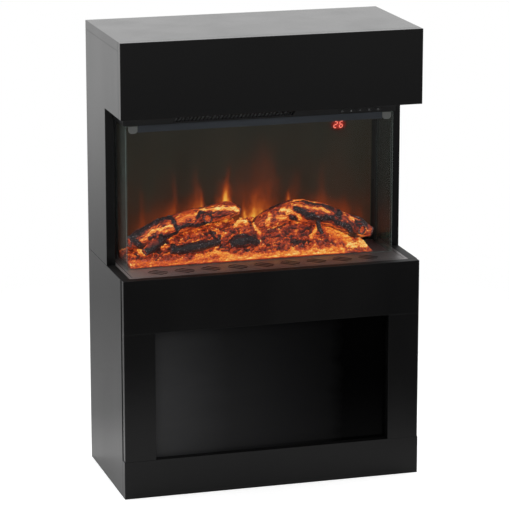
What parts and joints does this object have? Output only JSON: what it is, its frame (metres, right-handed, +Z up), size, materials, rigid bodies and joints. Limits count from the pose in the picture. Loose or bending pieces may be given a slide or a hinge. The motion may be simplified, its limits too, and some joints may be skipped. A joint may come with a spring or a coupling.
{
  "type": "electric fireplace",
  "caption": "Free-standing black cabinet with a mantel, a three-sided glass electric log fire with fan heater, and a niche panel above a plinth.",
  "frame": {"origin": "centre of the footprint, on the floor", "axes": "+X to the right seen from the front, the front faces -Y, +Z up"},
  "size_m": [0.75, 0.355, 1.12],
  "materials": {
    "black_board": "satin black lacquer on fibreboard",
    "gloss_panel": "high gloss black",
    "hardboard": "dark faced hardboard",
    "zinc_steel": "zinc plated",
    "galvanised_sheet": "galvanised",
    "black_sheet": "satin black powder coat",
    "grey_sheet": "satin dark grey powder coat",
    "clear_glass": "tempered",
    "rail_steel": "satin grey",
    "clip_plastic": "translucent grey",
    "log_resin": "charred bark",
    "ember_resin": "translucent, lit from below",
    "smoked_screen": "smoked diffuser",
    "display_lens": "dark lens",
    "mirror_foil": "mirror foil",
    "nylon": "moulded",
    "circuit_board": "solder mask",
    "element_fins": "finned ceramic heater",
    "fan_wheel": "pressed sheet",
    "key_cap": "satin black",
    "black_plastic": "moulded",
    "case_screw": "black zinc"
  },
  "bodies": {
    "cabinet": {"base_pan": "grey_sheet", "blower_bearing": "nylon", "blower_motor": "zinc_steel", "bottom_board": "black_board", "cabinet_screws": "zinc_steel", "cable_gland": "black_plastic", "case_back": "black_sheet", "case_top": "black_sheet", "chamber_ceiling": "black_sheet", "control_board": "circuit_board", "corner_brackets": "zinc_steel", "decor_panel": "gloss_panel", "display_module": "display_lens", "ember_bed": "ember_resin", "ember_led_strip": "circuit_board", "firebox_shelf": "black_board", "flame_led_strip": "circuit_board", "flame_screen": "smoked_screen", "front_glass": "clear_glass", "glass_clips": "clip_plastic", "glass_rail": "rail_steel", "header_panel": "black_sheet", "heater_duct": "galvanised_sheet", "heating_element": "element_fins", "insert_screws": "case_screw", "left_log": "log_resin", "left_side_frame": "black_sheet", "left_side_glass": "clear_glass", "left_side_panel": "black_board", "left_stile": "black_board", "lower_back_panel": "hardboard", "lower_fascia": "black_board", "mantel_soffit": "black_board", "outlet_grille": "black_sheet", "plinth_board": "black_board", "power_board": "circuit_board", "rear_foot_rail": "black_board", "right_log": "log_resin", "right_side_frame": "black_sheet", "right_side_glass": "clear_glass", "right_side_panel": "black_board", "right_stile": "black_board", "rotor_bush": "nylon", "rotor_motor": "zinc_steel", "small_logs": "log_resin", "switch_housing": "black_plastic", "thermal_cutout": "nylon", "top_board": "black_board", "tray_panel": "grey_sheet", "upper_back_rail": "black_board", "upper_fascia": "black_board"},
    "button_1": {"button_1": "key_cap"},
    "button_2": {"button_2": "key_cap"},
    "button_3": {"button_3": "key_cap"},
    "button_4": {"button_4": "key_cap"},
    "button_5": {"button_5": "key_cap"},
    "flame_rotor": {"flame_rotor": "mirror_foil"},
    "blower_wheel": {"blower_wheel": "fan_wheel"},
    "switch_rocker": {"switch_rocker": "black_plastic"}
  },
  "joints": [
    {"name": "button_1_press", "type": "slide", "parent": "cabinet", "child": "button_1", "axis": [0, 1, 0], "range_m": [0, 0.0008], "stiffness_N_per_m": 400, "springref_m": -0.001},
    {"name": "button_2_press", "type": "slide", "parent": "cabinet", "child": "button_2", "axis": [0, 1, 0], "range_m": [0, 0.0008], "stiffness_N_per_m": 400, "springref_m": -0.001},
    {"name": "button_3_press", "type": "slide", "parent": "cabinet", "child": "button_3", "axis": [0, 1, 0], "range_m": [0, 0.0008], "stiffness_N_per_m": 400, "springref_m": -0.001},
    {"name": "button_4_press", "type": "slide", "parent": "cabinet", "child": "button_4", "axis": [0, 1, 0], "range_m": [0, 0.0008], "stiffness_N_per_m": 400, "springref_m": -0.001},
    {"name": "button_5_press", "type": "slide", "parent": "cabinet", "child": "button_5", "axis": [0, 1, 0], "range_m": [0, 0.0008], "stiffness_N_per_m": 400, "springref_m": -0.001},
    {"name": "flame_rotor_spin", "type": "hinge", "parent": "cabinet", "child": "flame_rotor", "pos_m": [0, 0.118, 0.602], "axis": [1, 0, 0], "continuous": true},
    {"name": "blower_spin", "type": "hinge", "parent": "cabinet", "child": "blower_wheel", "pos_m": [-0.065, 0.01, 0.947], "axis": [1, 0, 0], "continuous": true},
    {"name": "switch_rock", "type": "hinge", "parent": "cabinet", "child": "switch_rocker", "pos_m": [0.29, 0.147, 0.65], "axis": [1, 0, 0], "range_deg": [-16, 0]}
  ]
}
